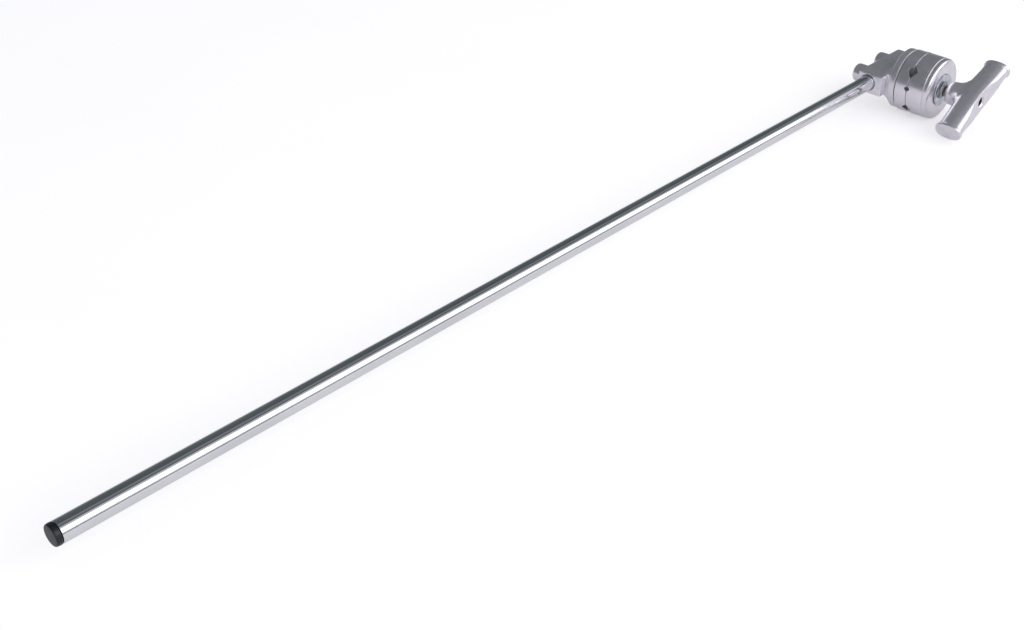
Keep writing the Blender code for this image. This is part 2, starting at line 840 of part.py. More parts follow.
def handle_bar():
    """The bar, turned about its own length, with a thin raised rim at each end."""
    rim = BAR_HALF_LENGTH - RIM_WIDTH
    soft = 0.7 * MM
    face = [(0.0, BAR_HALF_LENGTH)]
    face += [(RIM_RADIUS - 1.2 * MM, BAR_HALF_LENGTH), (RIM_RADIUS - 0.3 * MM, BAR_HALF_LENGTH - 0.3 * MM)]
    face += [(RIM_RADIUS, BAR_HALF_LENGTH - 1.0 * MM), (RIM_RADIUS, rim + soft), (BAR_END_RADIUS, rim)]
    count = 6
    body = []
    for i in range(1, count):
        along = rim - 2.0 * rim * i / count
        body.append((bar_radius(along), along))
    other = [(radius, -along) for radius, along in reversed(face)]
    bar = turned("handle_bar", face + body + other, 32)
    as_cutter(bar)
    place(bar, HANDLE, (0.0, 0.0, BAR_AXIS), (0.0, math.pi / 2.0, 0.0))
    return bar


def hub_section(height):
    """Half widths along and across the bar at one height on the hub.

    The hub starts as a rounded nose. Along the bar it flares by an arc of radius HUB_BLEND up to
    the bar's back, and from there it widens evenly to the long oval of the front facet.
    """
    nose = min(max(HUB_END + HUB_NOSE - height, 0.0), HUB_NOSE)
    inset = HUB_NOSE - math.sqrt(HUB_NOSE * HUB_NOSE - nose * nose)
    back = BAR_AXIS - BAR_RADIUS
    rise = min(max(height - back + HUB_BLEND, 0.0), HUB_BLEND)
    flare = HUB_BLEND - math.sqrt(HUB_BLEND * HUB_BLEND - rise * rise)
    share = min(max((height - back) / (BAR_RADIUS + FACET_DEPTH), 0.0), 1.0)
    along = HUB_RADIUS - inset + flare + (FACET_HALF_LENGTH - HUB_RADIUS - HUB_BLEND) * share
    across = HUB_RADIUS - inset + (FACET_HALF_WIDTH - HUB_RADIUS) * share
    return along, across


def hub_heights():
    """Heights of the loft's sections, close together on the nose and where the flare turns out."""
    back = BAR_AXIS - BAR_RADIUS
    nose = [HUB_END + HUB_NOSE * share for share in (0.0, 0.12, 0.4, 1.0)]
    flare = [back - HUB_BLEND * share for share in (0.6, 0.3, 0.12, 0.03, 0.0)]
    front = BAR_AXIS + FACET_DEPTH
    return nose + flare + [front, BAR_AXIS + BAR_END_RADIUS + MM]


def make_t_handle(handle_screw_hole, pin_hole):
    """The hub is lofted from a circle to a long oval, the bar joined across it, the front scooped."""
    sides = 28
    shape = bmesh.new()
    loops = []
    for height in hub_heights():
        along, across = hub_section(height)
        loop = []
        for i in range(sides):
            angle = 2.0 * math.pi * i / sides
            loop.append(shape.verts.new((along * math.cos(angle), across * math.sin(angle), height)))
        loops.append(loop)
    shape.faces.new(list(reversed(loops[0])))
    for low, high in zip(loops, loops[1:]):
        for i in range(sides):
            j = (i + 1) % sides
            shape.faces.new((low[i], low[j], high[j], high[i]))
    shape.faces.new(loops[-1])
    mesh = bpy.data.meshes.new("t_handle")
    shape.to_mesh(mesh)
    shape.free()
    handle = bpy.data.objects.new("t_handle", mesh)
    as_part(handle, CAST_ALUMINIUM)
    place(handle, HANDLE)
    join(handle, handle_bar())
    scoop = rod("facet_scoop", FACET_SWEEP, -20.0 * MM, 20.0 * MM, 128)
    as_cutter(scoop)
    place(scoop, HANDLE, (0.0, 0.0, BAR_AXIS + FACET_DEPTH + FACET_SWEEP), (math.pi / 2.0, 0.0, 0.0))
    cut(handle, scoop)
    front = BAR_AXIS + FACET_DEPTH
    above = front + 10.0 * MM
    seat = SCREW_OUTER_END + HANDLE_WEB
    head = HANDLE_SCREW_HEAD + 0.4 * MM
    shank = HANDLE_SCREW_SHANK + 0.6 * MM
    bore = SCREW_RADIUS + 0.25 * MM
    mouth = SCREW_RADIUS + 1.3 * MM
    drilled = turned(
        "handle_bore",
        [
            (0.0, above),
            (head + 1.1 * MM, above),
            (head + 1.1 * MM, front),
            (head, front - 1.1 * MM),
            (head, seat),
            (shank, seat),
            (shank, SCREW_OUTER_END + GAP),
            (bore, SCREW_OUTER_END + GAP),
            (bore, HUB_END + MM),
            (mouth, HUB_END - 0.05 * MM),
            (mouth, HUB_END - MM),
            (0.0, HUB_END - MM),
        ],
        36,
    )
    as_cutter(drilled)
    place(drilled, HANDLE)
    cut(handle, drilled)
    cut(handle, pin_hole)
    return handle


def make_handle_screw():
    """A socket head screw in the end of the clamp screw, sunk in the handle's front."""
    head_low = SCREW_OUTER_END + HANDLE_WEB + GAP
    head_top = head_low + 4.2 * MM
    foot = SCREW_OUTER_END - 8.0 * MM
    screw = turned(
        "handle_screw",
        [
            (0.0, head_top),
            (HANDLE_SCREW_HEAD - 0.4 * MM, head_top),
            (HANDLE_SCREW_HEAD, head_top - 0.4 * MM),
            (HANDLE_SCREW_HEAD, head_low),
            (HANDLE_SCREW_SHANK, head_low),
            (HANDLE_SCREW_SHANK, foot),
            (0.0, foot),
        ],
        32,
    )
    as_part(screw, BLACK_STEEL)
    place(screw, HANDLE)
    socket = prism("handle_screw_socket", 6, HANDLE_SCREW_SOCKET, head_top - 2.8 * MM, head_top + MM)
    as_cutter(socket)
    place(socket, HANDLE)
    cut(screw, socket)
    return screw


def make_handle_pin():
    """A pin across the hub and the screw, driven in from the side away from the bar's ends."""
    top = HUB_RADIUS - 0.6 * MM
    pin = rod("handle_pin", HANDLE_PIN_RADIUS, HANDLE_PIN_END, top, 16, 0.3 * MM)
    as_part(pin, STEEL)
    return place(pin, HANDLE, PIN_PLACE, (math.pi / 2.0, 0.0, 0.0))


def make_handle_holes():
    radius = HANDLE_SCREW_SHANK + GAP
    tapped = rod("handle_screw_hole", radius, SCREW_OUTER_END - 9.0 * MM, SCREW_OUTER_END + MM, 24)
    as_cutter(tapped)
    place(tapped, HANDLE)
    radius = HANDLE_PIN_RADIUS + 0.25 * MM
    pin_hole = rod("handle_pin_hole", radius, HANDLE_PIN_END - 0.4 * MM, HUB_RADIUS + 4.0 * MM, 16)
    as_cutter(pin_hole)
    place(pin_hole, HANDLE, PIN_PLACE, (math.pi / 2.0, 0.0, 0.0))
    return tapped, pin_hole


clear_scene()
PARTS = new_collection("extension_arm_with_grip_head")
CUTTERS = new_collection("cutters")

CHROME = metal("chrome", (0.66, 0.67, 0.69), 0.08)
POLISHED_ALUMINIUM = metal("polished_aluminium", (0.70, 0.69, 0.72), 0.22)
CAST_ALUMINIUM = metal("cast_aluminium", (0.66, 0.66, 0.69), 0.28)
STEEL = metal("steel", (0.55, 0.56, 0.58), 0.25)
ZINC_STEEL = metal("zinc_steel", (0.60, 0.52, 0.34), 0.30)
BLACK_STEEL = metal("black_steel", (0.05, 0.05, 0.055), 0.40)
BRONZE = metal("bronze", (0.55, 0.38, 0.18), 0.35)
FIBRE = metal("fibre", (0.05, 0.045, 0.04), 0.80, 0.0)
BLACK_PLASTIC = metal("black_plastic", (0.012, 0.018, 0.020), 0.35, 0.0)

FACE_HANDLE = (math.pi / 2.0, 0.0, 0.0)
HEAD = add_empty("head_axis", (HEAD_X, -HEAD_OFFSET, 0.0), FACE_HANDLE)
JAWS = add_empty("jaw_axis", (0.0, 0.0, 0.0), (0.0, 0.0, GROOVE_TURN), HEAD)
BEARING = add_empty("bearing_axis", (0.0, 0.0, 0.0), (0.0, 0.0, 0.0), HEAD)
SCREW = add_empty("screw_axis", (0.0, 0.0, 0.0), (0.0, 0.0, 0.0), HEAD)
HANDLE = add_empty("handle_axis", (0.0, 0.0, 0.0), (0.0, 0.0, HANDLE_TURN), HEAD)
PIN_PLACE = (0.0, 0.0, HUB_END + 7.0 * MM)
KEY_HOLE = make_key_hole()
GROOVE_BARS = groove_cutters()
DOWEL_HOLES = dowel_holes()
TAPPED_HOLE, PIN_HOLE = make_handle_holes()

make_arm_tube()
make_end_cap()
make_arm_socket()
make_arm_set_screw("arm_set_screw_near", -0.5 * BOSS_SPACING)
make_arm_set_screw("arm_set_screw_far", 0.5 * BOSS_SPACING)
make_socket_thread_bush()
make_bush_key_pin()
make_friction_washer()
make_inner_jaw(GROOVE_BARS, DOWEL_HOLES)
make_jaw_dowel("jaw_dowel_1", DOWEL_PLACES[0])
make_jaw_dowel("jaw_dowel_2", DOWEL_PLACES[1])
make_jaw_spring()
make_outer_jaw(GROOVE_BARS, DOWEL_HOLES)
make_outer_jaw_bushing()
make_bearing_race()
make_bearing_cage()
make_bearing_rollers()
make_pressure_washer()
make_collar_nut()
make_clamp_screw(TAPPED_HOLE, PIN_HOLE)
make_stop_ring()
make_t_handle(TAPPED_HOLE, PIN_HOLE)
make_handle_pin()
make_handle_screw()
print("parts made:", len([item for item in PARTS.objects if item.type != "EMPTY"]))
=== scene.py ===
# %% [markdown]
# # An extension arm with a grip head
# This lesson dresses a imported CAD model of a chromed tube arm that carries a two-jaw grip head.
# The CAD model fixes every size and every joint. This script gives the parts their finish, and it
# rebuilds the few pieces whose real surface is finer than the CAD one, such as a screw thread.
# Blender works in metres here, so small sizes are written as a number times MM.

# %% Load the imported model
import json
import math

import bmesh
import bpy
import numpy as np
from mathutils import Matrix, Vector


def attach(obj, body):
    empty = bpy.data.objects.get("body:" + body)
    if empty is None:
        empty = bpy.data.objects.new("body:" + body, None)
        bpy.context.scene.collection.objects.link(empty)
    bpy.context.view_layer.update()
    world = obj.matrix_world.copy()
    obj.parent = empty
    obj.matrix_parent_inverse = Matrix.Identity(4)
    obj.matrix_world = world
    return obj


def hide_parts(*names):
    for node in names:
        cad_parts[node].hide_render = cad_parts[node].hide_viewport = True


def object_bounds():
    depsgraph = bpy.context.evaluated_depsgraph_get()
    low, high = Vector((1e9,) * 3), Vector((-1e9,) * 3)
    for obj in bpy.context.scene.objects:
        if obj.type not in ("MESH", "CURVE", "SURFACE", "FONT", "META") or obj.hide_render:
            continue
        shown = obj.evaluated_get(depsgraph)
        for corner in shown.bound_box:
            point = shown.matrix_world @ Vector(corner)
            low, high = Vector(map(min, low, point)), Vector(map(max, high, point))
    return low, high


MM = 0.001
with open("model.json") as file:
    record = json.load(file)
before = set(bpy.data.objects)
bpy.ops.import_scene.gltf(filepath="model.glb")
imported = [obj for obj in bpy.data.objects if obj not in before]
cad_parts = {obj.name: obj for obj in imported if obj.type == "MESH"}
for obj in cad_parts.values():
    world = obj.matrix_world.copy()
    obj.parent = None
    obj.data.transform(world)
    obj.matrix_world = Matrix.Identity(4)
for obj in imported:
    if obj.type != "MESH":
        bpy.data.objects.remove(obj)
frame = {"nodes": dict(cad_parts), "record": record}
nodes = frame["nodes"]
cad_low, cad_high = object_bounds()

# %% [markdown]
# ## Where things are
# The tube lies along X and starts at the origin. The head's axis runs toward -Y from a point near
# the tube's far end. A point on the head is easiest to give as across, up and out from that axis,
# so one small function turns such numbers into X, Y and Z.

# %% The two axes
ARM_LENGTH = 1.016
TUBE_RADIUS = 7.9375 * MM
HEAD_X = 0.976
HEAD_Y = -40.3 * MM


def on_head(across, up, out):
    """Places points of the head: across is +X, up is +Z, and out is -Y from the parting plane."""
    return np.stack([HEAD_X + across, HEAD_Y - out, up + 0.0 * across], axis=-1)


def on_arm(across, up, along):
    """Places points of the tube: across is +Y, up is +Z, and along is +X from the free end."""
    return np.stack([along + 0.0 * across, across, up + 0.0 * across], axis=-1)


print("head axis at x", HEAD_X, "y", HEAD_Y)

# %% [markdown]
# ## The camera
# The photograph looks down on the arm from the free end. The place and the direction came from
# fitting the tube's two edges and the head's discs at their real sizes. The lens is close to a
# normal 50 mm one, and the small shift centres the picture as the photograph is cropped.

# %% Camera
CAMERA_PLACE = Vector((-0.25779, -0.60689, 0.56089))
CAMERA_FORWARD = Vector((0.62854, 0.55546, -0.54443))
CAMERA_UP = Vector((0.38999, 0.38054, 0.83851))
FOCAL_PIXELS = 1353.7
IMAGE_WIDTH = 1024
IMAGE_HEIGHT = 630
CENTRE_PIXEL = (534.53, 302.69)
SENSOR_WIDTH = 36.0
NEAREST_SEEN = 0.01
FARTHEST_SEEN = 100.0


def add_camera():
    data = bpy.data.cameras.new("photo_camera")
    data.sensor_width = SENSOR_WIDTH
    data.lens = FOCAL_PIXELS * data.sensor_width / IMAGE_WIDTH
    data.shift_x = (0.5 * IMAGE_WIDTH - CENTRE_PIXEL[0]) / IMAGE_WIDTH
    data.shift_y = (CENTRE_PIXEL[1] - 0.5 * IMAGE_HEIGHT) / IMAGE_WIDTH
    data.clip_start = NEAREST_SEEN
    data.clip_end = FARTHEST_SEEN
    camera = bpy.data.objects.new("photo_camera", data)
    bpy.context.scene.collection.objects.link(camera)
    side = CAMERA_FORWARD.cross(CAMERA_UP).normalized()
    up = side.cross(CAMERA_FORWARD).normalized()
    turn = Matrix((side, up, -CAMERA_FORWARD)).transposed()
    camera.matrix_world = Matrix.Translation(CAMERA_PLACE) @ turn.to_4x4()
    bpy.context.scene.camera = camera
    return camera


camera = add_camera()
print("lens", round(camera.data.lens, 2), "mm")

# %% [markdown]
# ## The studio
# Bright metal has almost no colour of its own: it shows what stands round it. The photograph's
# tube has a dark band on top, a white band in the middle and a pale grey band below. So the room
# gets a long white softbox in front, dark cloth above and behind, and a pale floor. The cloth is
# a ramp on the world, read by the angle round the tube's axis.

# %% Studio values
CLOTH_RAMP = (
    (0.00, (0.11, 0.11, 0.14)),
    (0.02, (0.11, 0.11, 0.14)),
    (0.05, (0.62, 0.62, 0.66)),
    (0.35, (0.55, 0.56, 0.60)),
    (0.42, (0.10, 0.115, 0.12)),
    (0.46, (0.10, 0.11, 0.12)),
    (0.50, (0.21, 0.225, 0.24)),
    (0.54, (0.18, 0.195, 0.21)),
    (0.58, (0.075, 0.088, 0.093)),
    (0.80, (0.085, 0.100, 0.104)),
    (1.00, (0.16, 0.18, 0.19)),
)
ROOM_LIGHT = (0.62, 0.62, 0.64)
SOFTBOX_PLACE = (1.45, -1.46, 1.05)
SOFTBOX_SIZE = (4.6, 1.12)
SOFTBOX_RADIANCE = 1.50


def add_node(tree, kind, **inputs):
    """Adds a node and sets its input sockets by name; a socket given by a link is connected."""
    node = tree.nodes.new(kind)
    for name, value in inputs.items():
        socket = node.inputs[name.replace("_", " ")]
        if isinstance(value, bpy.types.NodeSocket):
            tree.links.new(value, socket)
        else:
            socket.default_value = value
    return node


def math_node(tree, operation, first, second=0.0, third=0.0):
    node = tree.nodes.new("ShaderNodeMath")
    node.operation = operation
    for socket, value in zip(node.inputs, (first, second, third)):
        if isinstance(value, bpy.types.NodeSocket):
            tree.links.new(value, socket)
        else:
            socket.default_value = value
    return node.outputs[0]


def ramp_node(tree, factor, stops):
    """A colour ramp with a stop for each (position, colour) pair."""
    node = tree.nodes.new("ShaderNodeValToRGB")
    ramp = node.color_ramp
    while len(ramp.elements) < len(stops):
        ramp.elements.new(0.5)
    for element, (position, colour) in zip(ramp.elements, stops):
        element.position = position
        element.color = (*colour, 1.0)
    tree.links.new(factor, node.inputs["Fac"])
    return node.outputs["Color"]


print("studio helpers ready")

# %% [markdown]
# The camera sees the world as white, which gives the plain white background of a product picture.
# Mirror-like rays see the cloth ramp, and the light that reaches matt surfaces is an even grey.
# The Light Path node tells the three kinds of ray apart.

# %% World
def make_world():
    world = bpy.data.worlds.new("studio_room")
    bpy.context.scene.world = world
    world.use_nodes = True
    tree = world.node_tree
    tree.nodes.clear()
    direction = add_node(tree, "ShaderNodeTexCoord").outputs["Generated"]
    parts = add_node(tree, "ShaderNodeSeparateXYZ", Vector=direction)
    toward = math_node(tree, "MULTIPLY", parts.outputs["Y"], -1.0)
    angle = math_node(tree, "ARCTAN2", parts.outputs["Z"], toward)
    share = math_node(tree, "DIVIDE", angle, math.pi)
    cloth = ramp_node(tree, share, CLOTH_RAMP)
    path = add_node(tree, "ShaderNodeLightPath")
    room = add_node(tree, "ShaderNodeBackground", Color=(*ROOM_LIGHT, 1.0), Strength=1.0)
    mirrored = add_node(tree, "ShaderNodeBackground", Color=cloth, Strength=1.0)
    white = add_node(tree, "ShaderNodeBackground", Color=(1.0, 1.0, 1.0, 1.0), Strength=1.0)
    first = tree.nodes.new("ShaderNodeMixShader")
    tree.links.new(path.outputs["Is Glossy Ray"], first.inputs[0])
    tree.links.new(room.outputs[0], first.inputs[1])
    tree.links.new(mirrored.outputs[0], first.inputs[2])
    second = tree.nodes.new("ShaderNodeMixShader")
    tree.links.new(path.outputs["Is Camera Ray"], second.inputs[0])
    tree.links.new(first.outputs[0], second.inputs[1])
    tree.links.new(white.outputs[0], second.inputs[2])
    output = tree.nodes.new("ShaderNodeOutputWorld")
    tree.links.new(second.outputs[0], output.inputs["Surface"])


make_world()
print("world has", len(CLOTH_RAMP), "ramp stops")

# %% [markdown]
# One long softbox does the lighting. A lamp's power is its brightness times its area times pi,
# so the script starts from the brightness that the chrome should show and works the power out.

# %% Softbox
def add_softbox(name, place, aim, size, radiance):
    data = bpy.data.lights.new(name, "AREA")
    data.shape = "RECTANGLE"
    data.size, data.size_y = size
    data.energy = radiance * math.pi * size[0] * size[1]
    lamp = bpy.data.objects.new(name, data)
    bpy.context.scene.collection.objects.link(lamp)
    lamp.location = place
    look = Vector(aim) - Vector(place)
    lamp.rotation_euler = look.to_track_quat("-Z", "Y").to_euler()
    return lamp


softbox_aim = (SOFTBOX_PLACE[0], 0.0, 0.0)
softbox = add_softbox("softbox", SOFTBOX_PLACE, softbox_aim, SOFTBOX_SIZE, SOFTBOX_RADIANCE)
print("softbox", round(softbox.data.energy, 1), "W")

# %% [markdown]
# The floor is a large pale sheet just below the object. It takes the soft shadow as a matt
# surface. A light of its own lifts it to white for the camera, and a weaker one brightens it for
# mirror-like rays.

# %% Floor
FLOOR_SIZE = 60.0
FLOOR_GAP = 0.4 * MM
FLOOR_COLOUR = (0.62, 0.62, 0.64)
FLOOR_DARKER = 0.985
FLOOR_GRAIN_SCALE = 6.0
FLOOR_LIFT = 0.52
FLOOR_MIRRORED = 0.17


def floor_material():
    material = bpy.data.materials.new("pale_floor")
    material.use_nodes = True
    tree = material.node_tree
    tree.nodes.clear()
    place = add_node(tree, "ShaderNodeTexCoord").outputs["Object"]
    grain = add_node(
        tree, "ShaderNodeTexNoise", Vector=place, Scale=FLOOR_GRAIN_SCALE, Detail=4.0
    )
    dark = tuple(FLOOR_DARKER * value for value in FLOOR_COLOUR)
    colour = ramp_node(tree, grain.outputs["Fac"], ((0.3, dark), (0.7, FLOOR_COLOUR)))
    matt = add_node(tree, "ShaderNodeBsdfDiffuse", Color=colour)
    path = add_node(tree, "ShaderNodeLightPath")
    seen = math_node(tree, "MULTIPLY", path.outputs["Is Camera Ray"], FLOOR_LIFT)
    mirrored = math_node(tree, "MULTIPLY", path.outputs["Is Glossy Ray"], FLOOR_MIRRORED)
    strength = math_node(tree, "ADD", seen, mirrored)
    glow = add_node(tree, "ShaderNodeEmission", Color=(1.0, 1.0, 1.0, 1.0), Strength=strength)
    both = tree.nodes.new("ShaderNodeAddShader")
    tree.links.new(matt.outputs[0], both.inputs[0])
    tree.links.new(glow.outputs[0], both.inputs[1])
    output = tree.nodes.new("ShaderNodeOutputMaterial")
    tree.links.new(both.outputs[0], output.inputs["Surface"])
    return material


def make_floor():
    half = 0.5 * FLOOR_SIZE
    height = cad_low.z - FLOOR_GAP
    corners = [(-half, -half, height), (half, -half, height)]
    corners += [(half, half, height), (-half, half, height)]
    mesh = bpy.data.meshes.new("floor")
    mesh.from_pydata(corners, [], [(0, 1, 2, 3)])
    floor = bpy.data.objects.new("floor", mesh)
    bpy.context.scene.collection.objects.link(floor)
    mesh.materials.append(floor_material())


make_floor()
bpy.context.scene.view_settings.view_transform = "Standard"
print("floor at", round((cad_low.z - FLOOR_GAP) / MM, 2), "mm")

# %% [markdown]
# ## Finishes
# Every finish starts from one Principled shader with three things worked into it: a colour that
# drifts a little, a roughness that varies, and a fine bump. Noise on Object coordinates drives all
# three, because the objects keep their place in their mesh and so the pattern stays put.

# %% Finish helpers
def new_finish(name, metallic):
    """A new material with a Principled shader; returns the material, its tree and the shader."""
    material = bpy.data.materials.new(name)
    material.use_nodes = True
    tree = material.node_tree
    shader = tree.nodes["Principled BSDF"]
    shader.inputs["Metallic"].default_value = metallic
    return material, tree, shader


def object_place(tree):
    return add_node(tree, "ShaderNodeTexCoord").outputs["Object"]


def stretched_place(tree, centre, scale):
    """Object coordinates moved so that centre is the zero point, then scaled on each axis."""
    moved = add_node(tree, "ShaderNodeVectorMath", Vector=object_place(tree))
    moved.operation = "SUBTRACT"
    moved.inputs[1].default_value = centre
    scaled = tree.nodes.new("ShaderNodeVectorMath")
    scaled.operation = "MULTIPLY"
    tree.links.new(moved.outputs[0], scaled.inputs[0])
    scaled.inputs[1].default_value = scale
    return scaled.outputs[0]


def noise(tree, place, scale, detail=3.0, roughness=0.5):
    node = add_node(
        tree, "ShaderNodeTexNoise", Vector=place, Scale=scale, Detail=detail, Roughness=roughness
    )
    return node.outputs["Fac"]


def spread(tree, factor, low, high):
    """Maps a noise, which stays near a half, onto the range from low to high."""
    node = add_node(
        tree,
        "ShaderNodeMapRange",
        Value=factor,
        From_Min=0.3,
        From_Max=0.7,
        To_Min=low,
        To_Max=high,
    )
    return node.outputs["Result"]


def add_bump(tree, shader, height, strength, distance, edge_round=0.0):
    """A bump from the height; where edge_round is given, a Bevel node first softens the edges."""
    bump = add_node(
        tree, "ShaderNodeBump", Height=height, Strength=strength, Distance=distance
    )
    if edge_round > 0.0:
        soft = add_node(tree, "ShaderNodeBevel", Radius=edge_round)
        soft.samples = 6
        tree.links.new(soft.outputs["Normal"], bump.inputs["Normal"])
    tree.links.new(bump.outputs["Normal"], shader.inputs["Normal"])


print("finish helpers ready")

# %% [markdown]
# Chrome plate on a drawn tube is nearly a mirror. What gives it away as a real, used tube is a
# faint haze in patches, and hairlines that run round it where clamps have turned on it.

# %% Chrome
CHROME_COLOUR = ((0.80, 0.81, 0.83), (0.88, 0.885, 0.90))
HAZE_STRETCH = (0.25, 1.0, 1.0)
HAZE_SCALE = 60.0
HAIRLINE_STRETCH = (1.0, 0.02, 0.02)
HAIRLINE_SCALE = 2600.0
ORIGIN = (0.0, 0.0, 0.0)


def chrome_finish():
    material, tree, shader = new_finish("chrome_plate", 1.0)
    haze = noise(tree, stretched_place(tree, ORIGIN, HAZE_STRETCH), HAZE_SCALE, 4.0)
    lines = noise(tree, stretched_place(tree, ORIGIN, HAIRLINE_STRETCH), HAIRLINE_SCALE, 2.0)
    colour = ramp_node(tree, haze, ((0.35, CHROME_COLOUR[0]), (0.65, CHROME_COLOUR[1])))
    tree.links.new(colour, shader.inputs["Base Color"])
    rough_haze = spread(tree, haze, 0.045, 0.095)
    rough_lines = spread(tree, lines, 0.0, 0.03)
    tree.links.new(math_node(tree, "ADD", rough_haze, rough_lines), shader.inputs["Roughness"])
    add_bump(tree, shader, lines, 0.02, 0.02 * MM)
    return material


chrome = chrome_finish()
print("made", chrome.name)

# %% [markdown]
# The jaws are turned on a lathe and then polished. Handled aluminium has a thin dull film, so a
# little of its look is a plain grey and the rest is metal. Lathe marks are rings: on a flat face
# they change with the distance from the axis, and on the rim with the height. Feeding a noise
# with those two numbers in place of X and Y draws both kinds at once.

# %% Turned aluminium
TURNED_COLOUR = ((0.82, 0.79, 0.85), (0.90, 0.87, 0.93))
ALUMINIUM_METALLIC = 0.85
LATHE_SCALE = 2400.0
DRIFT_SCALE = 120.0
TURNED_EDGE_ROUND = 0.3 * MM


def ring_place(tree):
    """Radius from the head's axis and height along it, as the X and Y of a vector."""
    flat = stretched_place(tree, (HEAD_X, 0.0, 0.0), (1.0, 0.0, 1.0))
    length = tree.nodes.new("ShaderNodeVectorMath")
    length.operation = "LENGTH"
    tree.links.new(flat, length.inputs[0])
    height = add_node(tree, "ShaderNodeSeparateXYZ", Vector=object_place(tree)).outputs["Y"]
    radius = length.outputs["Value"]
    return add_node(tree, "ShaderNodeCombineXYZ", X=radius, Y=height).outputs["Vector"]


def turned_finish():
    material, tree, shader = new_finish("turned_aluminium", ALUMINIUM_METALLIC)
    rings = noise(tree, ring_place(tree), LATHE_SCALE, 3.0, 0.6)
    drift = noise(tree, object_place(tree), DRIFT_SCALE, 3.0)
    colour = ramp_node(tree, drift, ((0.3, TURNED_COLOUR[0]), (0.7, TURNED_COLOUR[1])))
    tree.links.new(colour, shader.inputs["Base Color"])
    rough_rings = spread(tree, rings, 0.16, 0.24)
    rough_drift = spread(tree, drift, 0.0, 0.06)
    tree.links.new(math_node(tree, "ADD", rough_rings, rough_drift), shader.inputs["Roughness"])
    add_bump(tree, shader, rings, 0.10, 0.02 * MM, TURNED_EDGE_ROUND)
    return material


turned_aluminium = turned_finish()
print("made", turned_aluminium.name)

# %% [markdown]
# The socket and the handle are castings that were tumbled bright. Their surface keeps a soft
# waviness from the mould, a fine sandy grain, and a few open pores.

# %% Cast aluminium
CAST_COLOUR = ((0.82, 0.79, 0.85), (0.90, 0.87, 0.93))
WAVE_SCALE = 160.0
SAND_SCALE = 1400.0
PORE_SCALE = 420.0
PORE_SHARE = 0.16
CAST_EDGE_ROUND = 0.6 * MM


def cast_finish():
    material, tree, shader = new_finish("cast_aluminium", ALUMINIUM_METALLIC)
    place = object_place(tree)
    waves = noise(tree, place, WAVE_SCALE, 2.0)
    sand = noise(tree, place, SAND_SCALE, 4.0, 0.6)
    colour = ramp_node(tree, waves, ((0.3, CAST_COLOUR[0]), (0.7, CAST_COLOUR[1])))
    tree.links.new(colour, shader.inputs["Base Color"])
    tree.links.new(spread(tree, sand, 0.27, 0.36), shader.inputs["Roughness"])
    cells = add_node(tree, "ShaderNodeTexVoronoi", Vector=place, Scale=PORE_SCALE)
    pores = add_node(
        tree,
        "ShaderNodeMapRange",
        Value=cells.outputs["Distance"],
        From_Min=0.0,
        From_Max=PORE_SHARE,
    ).outputs["Result"]
    mixed = math_node(tree, "MULTIPLY_ADD", waves, 3.0, sand)
    height = math_node(tree, "MULTIPLY_ADD", pores, 0.5, mixed)
    add_bump(tree, shader, height, 0.10, 0.10 * MM, CAST_EDGE_ROUND)
    return material


cast_aluminium = cast_finish()
print("made", cast_aluminium.name)

# %% [markdown]
# The small steel parts share one recipe with different numbers: two colours that drift into each
# other, a roughness range, and a grain size.

# %% Small metal parts
def plated_finish(name, colours, roughness, grain, drift_scale=260.0):
    material, tree, shader = new_finish(name, 1.0)
    place = stretched_place(tree, (HEAD_X, HEAD_Y, 0.0), (1.0, 1.0, 1.0))
    drift = noise(tree, place, drift_scale, 2.0)
    fine = noise(tree, place, grain, 3.0, 0.6)
    stops = []
    for index, colour in enumerate(colours):
        stops.append((0.32 + 0.36 * index / (len(colours) - 1), colour))
    tree.links.new(ramp_node(tree, drift, stops), shader.inputs["Base Color"])
    tree.links.new(spread(tree, fine, *roughness), shader.inputs["Roughness"])
    add_bump(tree, shader, fine, 0.08, 0.03 * MM)
    return material


BRIGHT_ZINC = ((0.48, 0.51, 0.55), (0.70, 0.72, 0.76))
# The yellow zinc colours are the plating's yellow, pink and green tones, all darkened: painted
# shade for the screw that sits between the nut and the hub.
YELLOW_ZINC_WITH_PAINTED_SHADE = ((0.62, 0.50, 0.28), (0.50, 0.38, 0.30), (0.34, 0.34, 0.20), (0.70, 0.60, 0.38))
BLACK_OXIDE = ((0.028, 0.028, 0.032), (0.055, 0.052, 0.055))
PLAIN_BRONZE = ((0.50, 0.33, 0.15), (0.66, 0.46, 0.24))

bright_steel = plated_finish("bright_zinc_steel", BRIGHT_ZINC, (0.10, 0.20), 1800.0)
yellow_steel_with_painted_shade = plated_finish("yellow_zinc_steel_with_painted_shade", YELLOW_ZINC_WITH_PAINTED_SHADE, (0.22, 0.36), 1500.0, 420.0)
black_steel = plated_finish("black_oxide_steel", BLACK_OXIDE, (0.32, 0.50), 1600.0)
bronze = plated_finish("plain_bronze", PLAIN_BRONZE, (0.26, 0.42), 1500.0)
print("made four plated finishes")

# %% [markdown]
# Two parts aren't metal: the moulded plug in the tube's end, and the fibre washer behind the
# inner jaw. Both are matt, with a grain that shows only close up and scuffs that are paler.

# %% Plastic and fibre
SCUFF_SCALE = 420.0


def matt_finish(name, colours, roughness, grain, bump_strength):
    material, tree, shader = new_finish(name, 0.0)
    place = object_place(tree)
    scuffs = noise(tree, place, SCUFF_SCALE, 4.0, 0.65)
    fine = noise(tree, place, grain, 3.0, 0.6)
    stops = ((0.35, colours[0]), (0.62, colours[1]), (0.72, colours[2]))
    tree.links.new(ramp_node(tree, scuffs, stops), shader.inputs["Base Color"])
    tree.links.new(spread(tree, fine, *roughness), shader.inputs["Roughness"])
    add_bump(tree, shader, fine, bump_strength, 0.05 * MM)
    return material


PLUG_COLOURS = ((0.006, 0.009, 0.012), (0.009, 0.013, 0.016), (0.020, 0.025, 0.029))
FIBRE_COLOURS = ((0.035, 0.031, 0.028), (0.055, 0.048, 0.042), (0.085, 0.075, 0.066))

